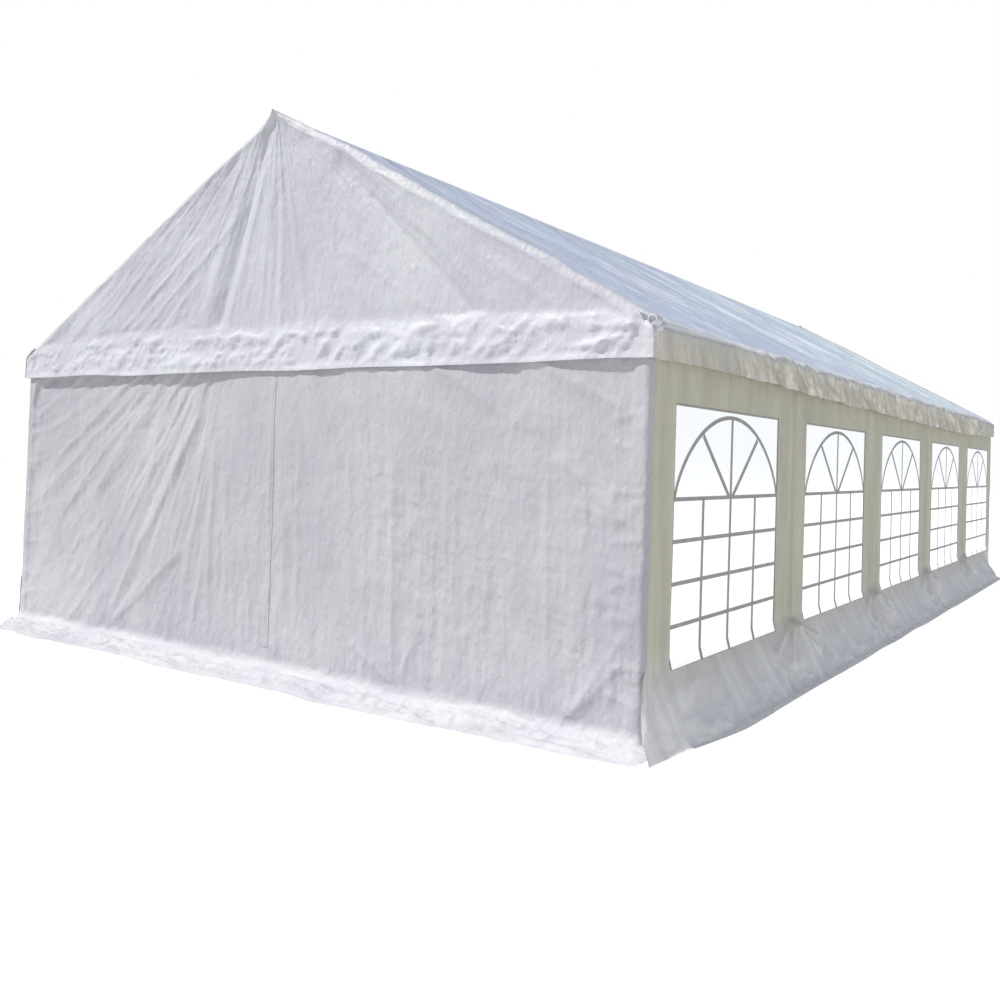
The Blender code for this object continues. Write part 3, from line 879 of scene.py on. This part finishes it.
def buildSideValance(side, word, shift):
    info = sideValance
    radius = tent["shoulderRadius"]
    slopeRun = (shoulderX + radius * math.sin(slopeAngle) - info["topX"]) * slopeFactor
    arcRun = radius * (0.5 * math.pi - slopeAngle)

    def layout(u, v):
        y = (2 * u - 1) * info["endY"]
        fall = shoulderZ - np.interp(y, info["hemY"], info["hemZ"])
        down = v * (slopeRun + arcRun + fall)
        inward = info["endY"] - np.abs(y)
        turn = np.clip((down - slopeRun) / radius, 0.0, 0.5 * math.pi - slopeAngle) + slopeAngle
        before = np.maximum(slopeRun - down, 0.0)
        after = np.maximum(down - slopeRun - arcRun, 0.0)
        x = shoulderX + radius * np.sin(turn) - before / slopeFactor
        z = shoulderZ + radius * np.cos(turn) + before * tent["slope"] / slopeFactor - after
        away = smoothStep(0.05, 0.16, inward)
        x = x + info["flare"] * after / fall * away
        x = x - cornerTuck(inward, x, side * y < 0)
        gather = smoothStep(0.02, slopeRun + 0.5 * arcRun, down) * away
        calm = smoothStep(0.6, 1.5, inward)
        lean = y - 0.5 * down + 0.05 * softNoise(y / 0.3, down / 0.2, shift + 7)
        pleat = creaseNoise(lean / 0.17, down / 0.30, shift, 3) + 0.6 * softNoise(lean / 0.42, down / 0.4, shift + 3)
        strength = 0.5 + 0.5 * smoothStep(-0.4, 0.4, softNoise(y / 0.5, y * 0, shift + 8))
        relief = gather * (0.08 + 0.92 * calm) * info["pleat"] * pleat * strength
        relief = relief + (0.0008 + 0.0024 * calm) * creaseNoise(y / 0.05, down / 0.05, shift + 4) * away
        relief = relief - 0.003 * smoothStep(0.03, 0.0, down)
        # pinched up where the rafters push the shoulder out
        rafterGap = np.min([np.abs(y - place) for place in rafterY[1:5]], axis=0)
        relief = relief + 0.014 * np.exp(-rafterGap / 0.05) * np.exp(-(((down - slopeRun) / 0.06) ** 2))
        x = x + relief * np.sin(turn)
        z = z + relief * np.cos(turn) + smoothStep(0.6, 1.0, v) * 0.008 * softNoise(y / 0.4, y * 0, shift + 6)
        return side * x, y, z

    sheet = spreadCloth(f"{word}_side_valance", info["columns"][word], info["rows"], layout, (side, 0, 0.3))
    setFinish(sheet, valanceFabric, "roof_cover", "roof_cover")


buildSideValance(-1, "left", 70.0)
buildSideValance(1, "right", 80.0)
print("side valances ready")


sideWall = {
    "columns": 120,
    "rows": 100,
    "bendHeight": 0.36,  # from here the skirt runs out in a slope
    "slopeOut": 0.20,
    "reach": 0.245,
    "tieHeight": 0.31,
    # at the right-hand corners the skirt reaches past the end wall: how far, against its
    # distance from the side wall; at the left-hand corners it narrows instead
    "cornerOut": [0.0, 0.03, 0.08, 0.14, 0.20, 0.245],
    "cornerPast": [0.0, 0.05, 0.13, 0.21, 0.235, 0.15],
    "cornerWidth": {"open": 0.76, "plain": 0.02},
}
windowLow, windowHigh = (list(map(float, corner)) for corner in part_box("right_window_1"))
window = {
    "width": windowHigh[1] - windowLow[1] + 0.0006,
    "sill": windowLow[2] - 0.0003,
    "head": windowHigh[2] + 0.0003,
    "depth": 0.003,  # the film lies this far behind the wall's face
    "barLevel": 0.020,  # widths of the level and of the upright bars
    "barUpright": 0.027,
    "rim": 0.012,  # the weld along the film's edge
    # wider than the other rims: part weld, part painted shadow along the sill
    "sillRimAndShadow": 0.020,
    "under": 0.008,  # the film goes on behind the wall by this much
    "springing": 1.112,
    "archTop": 1.542,
    "archFullness": 1.4,  # 1 would be half an ellipse, 2 a parabola
    "columns": 4,
    "rows": 4,
}


# Section of a side wall: height and distance out against the way down the cloth

def sideSection():
    info = sideWall
    drop = np.linspace(0.0, 1.0, 24)
    z = info["bendHeight"] + (tent["groundGap"] - info["bendHeight"]) * drop
    out = info["slopeOut"] * drop**1.3
    z = np.concatenate([[tent["wallTop"]], z, [tent["groundGap"]]])
    out = np.concatenate([[0.0], out, [info["reach"]]])
    down = np.concatenate([[0.0], np.cumsum(np.hypot(np.diff(z), np.diff(out)))])
    return down, out, z


def buildSidePanel(side, bay, name, shift):
    info = sideWall
    top = tent["wallTop"]
    downs, outs, heights = sideSection()
    total = float(downs[-1])
    start = -tent["halfLength"] + tent["bay"] * bay
    margin = (tent["bay"] - window["width"]) / 2
    # grid lines fall on the window's edges
    uStops = [0.0, 0.20, 0.80, 1.0]
    yStops = [0.0, margin, tent["bay"] - margin, tent["bay"]]
    vStops = [0.0, 0.12, 0.52, 1.0]
    downStops = [0.0, top - window["head"], top - window["sill"], total]

    def layout(u, v):
        local = np.interp(u, uStops, yStops)
        down = np.interp(v, vStops, downStops)
        out = np.interp(down, downs, outs)
        z = np.interp(down, downs, heights)
        angle = np.interp(z, [tent["groundGap"], 0.05, info["bendHeight"]], [1.2, 0.75, 0.0])
        y = start + local
        # distance to the window's edge, so that folds die out there
        beside = np.maximum(np.abs(local - tent["bay"] / 2) - window["width"] / 2, 0.0)
        below = np.maximum(window["sill"] - z, 0.0) + np.maximum(z - window["head"], 0.0)
        free = smoothStep(0.0, 0.08, np.hypot(beside, below))
        post = np.minimum(local, tent["bay"] - local)
        relief = 0.006 * softNoise(y / 0.6, z / 0.7, shift) * free
        pleats = creaseNoise(local / 0.06, z / 0.7, shift + 2, 2) + 0.8
        relief = relief + 0.007 * pleats * free * smoothStep(0.27, 0.10, post) * smoothStep(0.0, 0.05, down)
        # the edge of the overlap that covers each seam
        lap = smoothStep(0.078, 0.066, local) * smoothStep(0.0, 0.02, local)
        relief = relief + 0.004 * lap
        sway = creaseNoise((local - 0.3 * z) / 0.16, z / 0.22, shift + 9, 3) * smoothStep(0.45, 0.15, z)
        relief = relief + 0.010 * sway * free
        # folds that hang from the ties at the uprights
        for edge, lean in ((start, 1.0), (start + tent["bay"], -1.0)):
            if abs(abs(edge) - tent["halfLength"]) < 0.1:
                continue
            for reachY, reachZ, height in ((0.30, -0.20, 0.024), (0.20, -0.26, 0.020), (0.44, -0.12, 0.014), (0.09, -0.28, 0.014)):
                tie = (edge + 0.02 * lean, info["tieHeight"] + 0.03)
                tip = (edge + lean * reachY, info["tieHeight"] + reachZ)
                relief = relief + foldLine(y, z, tie, tip, 0.024, height, 0.1) * free
        relief = relief + 0.0012 * creaseNoise(y / 0.08, z / 0.08, shift + 4) * free
        lie = smoothStep(0.16, 0.03, z)
        rumple = 0.016 * creaseNoise(y / 0.20, out / 0.10, shift + 6) + 0.007 * creaseNoise(y / 0.08, out / 0.07, shift + 7)
        fadeEdge = smoothStep(info["reach"], info["reach"] - 0.08, out)
        relief = relief * (1 - lie) + lie * (0.010 + rumple) * (0.1 + 0.9 * fadeEdge)
        atSeam = smoothStep(0.0, 0.02, post)
        relief = relief * atSeam
        # at the tent's corners
        back = 0.022 * smoothStep(0.02, 0.0, out)
        past = np.interp(out, info["cornerOut"], info["cornerPast"])
        inward = tent["halfLength"] - np.abs(y)
        width = 1.0
        if bay in (0, tent["bays"] - 1):
            end = -1 if bay == 0 else 1
            open = side * end < 0
            away = np.clip(inward / tent["bay"], 0.0, 1.0)
            y = y + end * (past * open - back) * (1 - away) ** 4
            least = info["cornerWidth"]["open" if open else "plain"]
            width = least + (1 - least) * smoothStep(0.0, 0.75, inward)
            relief = relief * (0.25 + 0.75 * smoothStep(0.0, 0.5, inward))
            # hardly any of it lies flat there
            flat = np.maximum(out - info["slopeOut"], 0.0)
            out = out - 0.8 * open * flat * smoothStep(0.8, 0.0, inward)
            over = smoothStep(-0.12, 0.02, -inward) * lie * open
            relief = relief * (1 - 0.7 * over) + 0.006 * over
        # beside the end walls its edge tucks in behind their rounded corner
        behind = 0.004 * smoothStep(0.05, 0.0, inward) * smoothStep(0.05, 0.15, z)
        out = out * width * (1 + 0.04 * softNoise(y / 0.5, y * 0, 91) * lie)
        x = tent["halfSpan"] + out - behind + relief * np.cos(angle)
        z = np.maximum(z + relief * np.sin(angle), 0.0015)
        return side * x, y, z

    sheet = spreadCloth(name, info["columns"], info["rows"], layout, (side, 0, 0.1))
    bm = bmesh.new()
    bm.from_mesh(sheet.data)
    middle = start + tent["bay"] / 2
    hole = []
    for face in bm.faces:
        centre = face.calc_center_median()
        if abs(centre.y - middle) < window["width"] / 2 and window["sill"] < centre.z < window["head"]:
            hole.append(face)
    bmesh.ops.delete(bm, geom=hole, context="FACES")
    bm.to_mesh(sheet.data)
    bm.free()
    setFinish(sheet, sideFabric, "side_wall", name.replace("_sheet", ""))


def filmRelief(local, z, shift):
    # small hollows, and below the bend the film leans out with the wall
    downs, outs, heights = sideSection()
    lean = np.interp(-z, -heights, outs)
    return lean + 0.0015 * softNoise(local / 0.35, z / 0.45, shift)


def buildWindow(side, bay, name, shift):
    middle = -tent["halfLength"] + tent["bay"] * (bay + 0.5)
    faceX = tent["halfSpan"] - window["depth"]
    halfWidth = window["width"] / 2

    def filmLayout(u, v):
        local = (2 * u - 1) * (halfWidth + window["under"])
        z = window["sill"] - window["under"] + (window["head"] - window["sill"] + 2 * window["under"]) * v
        x = faceX + filmRelief(local, z, shift)
        return side * x, middle + local, z

    film = spreadCloth(name + "_film", 24, 20, filmLayout, (side, 0, 0))
    setFinish(film, glowingFilmFinish, "window_film", name)

    bm = bmesh.new()
    half = window["barUpright"] / 2

    def bar(start, end, width, lift):
        # a flat strip on the film, cut into short lengths so that it follows the film's hollows
        run = math.hypot(end[0] - start[0], end[1] - start[1])
        strip = bmesh.ops.create_grid(bm, x_segments=max(2, int(run / 0.06)), y_segments=1, size=0.5)
        for vert in strip["verts"]:
            along = vert.co.x + 0.5
            aside = vert.co.y * width
            local = start[0] + (end[0] - start[0]) * along - (end[1] - start[1]) / run * aside
            z = start[1] + (end[1] - start[1]) * along + (end[0] - start[0]) / run * aside
            vert.co = (faceX + lift, local, z)

    def archPoint(turn):
        rise = window["archTop"] - 0.4 * window["barUpright"] - window["springing"]
        return Vector(((halfWidth - half) * math.cos(turn), window["springing"] + rise * math.sin(turn) ** window["archFullness"]))

    def arch(lift):
        strip = bmesh.ops.create_grid(bm, x_segments=48, y_segments=1, size=0.5)
        for vert in strip["verts"]:
            turn = math.pi * min(max(vert.co.x + 0.5, 0.002), 0.998)
            ahead = (archPoint(turn + 0.001) - archPoint(turn - 0.001)).normalized()
            width = window["barLevel"] + (window["barUpright"] - window["barLevel"]) * abs(ahead.y)
            spot = archPoint(turn) - Vector((-ahead.y, ahead.x)) * vert.co.y * width
            vert.co = (faceX + lift, spot.x, max(spot.y, window["springing"]))

    # the welded rim, part of it behind the wall; the sill's strip is widened, part weld and part painted shadow along
    # the sill
    for z, inset in ((window["sill"], window["sillRimAndShadow"]), (window["head"], -window["rim"])):
        under = math.copysign(0.75 * window["under"], inset)
        bar((-halfWidth, z + (inset - under) / 2), (halfWidth, z + (inset - under) / 2), abs(inset) + abs(under), 0.0012)
    for hand in (-1, 1):
        local = hand * (halfWidth - (window["rim"] - 0.75 * window["under"]) / 2)
        bar((local, window["sill"]), (local, window["head"]), window["rim"] + 0.75 * window["under"], 0.0010)
    rowHeight = (window["springing"] - window["sill"]) / window["rows"]
    for index in range(1, window["rows"]):
        z = window["sill"] + rowHeight * index
        bar((-halfWidth, z), (halfWidth, z), window["barLevel"], 0.0022)
    bar((-halfWidth, window["springing"]), (halfWidth, window["springing"]), window["barLevel"], 0.0026)
    columnWidth = window["width"] / window["columns"]
    for index in range(1, window["columns"]):
        local = -halfWidth + columnWidth * index
        bar((local, window["sill"]), (local, window["springing"]), window["barUpright"], 0.0018)
    arch(0.0022)
    bar((0, window["springing"]), (0, window["archTop"] - half), window["barUpright"], 0.0016)
    for hand in (-1, 1):
        tip = (hand * 0.385, 1.425)
        bar((hand * 0.02, window["springing"]), tip, window["barUpright"], 0.0018)
    flat = [vert.co.copy() for vert in bm.verts]
    local = np.array([co.y for co in flat])
    relief = filmRelief(local, np.array([co.z for co in flat]), shift)
    for vert, extra in zip(bm.verts, relief):
        vert.co = (side * (vert.co.x + extra), middle + vert.co.y, vert.co.z)
    bmesh.ops.recalc_face_normals(bm, faces=bm.faces[:])
    mesh = bpy.data.meshes.new(name + "_bars")
    bm.to_mesh(mesh)
    bm.free()
    bars = bpy.data.objects.new(name + "_bars", mesh)
    bpy.context.scene.collection.objects.link(bars)
    if sum(polygon.normal.x for polygon in mesh.polygons) * side < 0:
        mesh.flip_normals()
    thickness = bars.modifiers.new("thickness", "SOLIDIFY")
    thickness.thickness = 0.0012
    thickness.offset = -1.0
    setFinish(bars, barFinish, "window_bars")


for side, word, shift in ((-1, "left", 100.0), (1, "right", 130.0)):
    for bay in range(tent["bays"]):
        buildSidePanel(side, bay, f"{word}_wall_panel_{bay + 1}_sheet", shift + 5 * bay)
        buildWindow(side, bay, f"{word}_window_{bay + 1}", shift + 5 * bay)
print("side walls and windows ready")


# Steel frame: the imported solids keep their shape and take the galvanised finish
for name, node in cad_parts.items():
    if name.startswith(("portal", "ridge", "eave", "base", "tie")):
        node.data.materials.clear()
        node.data.materials.append(steelFinish)


# Floor, light and camera

def buildFloor():
    bm = bmesh.new()
    bmesh.ops.create_grid(bm, x_segments=8, y_segments=8, size=60.0)
    mesh = bpy.data.meshes.new("floor")
    bm.to_mesh(mesh)
    bm.free()
    floor = bpy.data.objects.new("floor", mesh)
    bpy.context.scene.collection.objects.link(floor)
    material = bpy.data.materials.new("pale_floor")
    material.use_nodes = True
    shader = material.node_tree.nodes["Principled BSDF"]
    shader.inputs["Base Color"].default_value = (0.24, 0.24, 0.24, 1.0)
    shader.inputs["Roughness"].default_value = 0.9
    shader.inputs["Emission Color"].default_value = (1.0, 1.0, 1.0, 1.0)
    shader.inputs["Emission Strength"].default_value = 0.92
    mesh.materials.append(material)


studio = {
    "sky": (0.86, 0.92, 1.0),
    "skyStrength": 0.42,
    "sunStrength": 4.4,
    "sunColour": (1.0, 0.98, 0.95),
    "sunSize": 2.5,
    "sunHeight": 56.0,
    "sunTurn": 48.0,  # degrees from straight in front of the gable towards the left
}


def lightStudio():
    world = bpy.data.worlds.new("studio")
    world.use_nodes = True
    tree = world.node_tree
    soft = tree.nodes["Background"]
    soft.inputs["Color"].default_value = (*studio["sky"], 1.0)
    soft.inputs["Strength"].default_value = studio["skyStrength"]
    seen = addNode(tree, "ShaderNodeBackground", Color=(1.0, 1.0, 1.0, 1.0), Strength=1.0)
    path = tree.nodes.new("ShaderNodeLightPath")
    mix = tree.nodes.new("ShaderNodeMixShader")
    tree.links.new(path.outputs["Is Camera Ray"], mix.inputs["Fac"])
    tree.links.new(soft.outputs["Background"], mix.inputs[1])
    tree.links.new(seen.outputs["Background"], mix.inputs[2])
    tree.links.new(mix.outputs["Shader"], tree.nodes["World Output"].inputs["Surface"])
    bpy.context.scene.world = world
    lamp = bpy.data.lights.new("key_sun", "SUN")
    lamp.energy = studio["sunStrength"]
    lamp.angle = math.radians(studio["sunSize"])
    lamp.color = studio["sunColour"]
    light = bpy.data.objects.new("key_sun", lamp)
    height = math.radians(studio["sunHeight"])
    turn = math.radians(studio["sunTurn"])
    flat = math.cos(height)
    towards = Vector((-math.sin(turn) * flat, -math.cos(turn) * flat, math.sin(height)))
    light.rotation_euler = towards.to_track_quat("Z", "Y").to_euler()
    bpy.context.scene.collection.objects.link(light)


viewpoint = {
    "place": (4.441, -9.025, 1.286),
    "yaw": -0.593,
    "pitch": 0.026,
    "roll": 0.032,
    "focalPixels": 988.06,
    "axisPixel": (507.333, 431.504),
    "imageSize": 1000,
}


def aimCamera():
    yaw, pitch, roll = viewpoint["yaw"], viewpoint["pitch"], viewpoint["roll"]
    ahead = Vector((math.sin(yaw) * math.cos(pitch), math.cos(yaw) * math.cos(pitch), math.sin(pitch)))
    level = Vector((math.cos(yaw), -math.sin(yaw), 0.0))
    above = level.cross(ahead)
    right = math.cos(roll) * level + math.sin(roll) * above
    up = math.cos(roll) * above - math.sin(roll) * level
    data = bpy.data.cameras.new("camera")
    camera = bpy.data.objects.new("camera", data)
    camera.matrix_world = Matrix.Translation(viewpoint["place"]) @ Matrix((right, up, -ahead)).transposed().to_4x4()
    size = viewpoint["imageSize"]
    data.sensor_width = 36.0
    data.lens = data.sensor_width * viewpoint["focalPixels"] / size
    data.shift_x = (size / 2 - viewpoint["axisPixel"][0]) / size
    data.shift_y = (viewpoint["axisPixel"][1] - size / 2) / size
    data.clip_end = 200.0
    bpy.context.scene.collection.objects.link(camera)
    bpy.context.scene.camera = camera


buildFloor()
lightStudio()
aimCamera()
bpy.context.scene.view_settings.view_transform = "Standard"
print("studio ready")
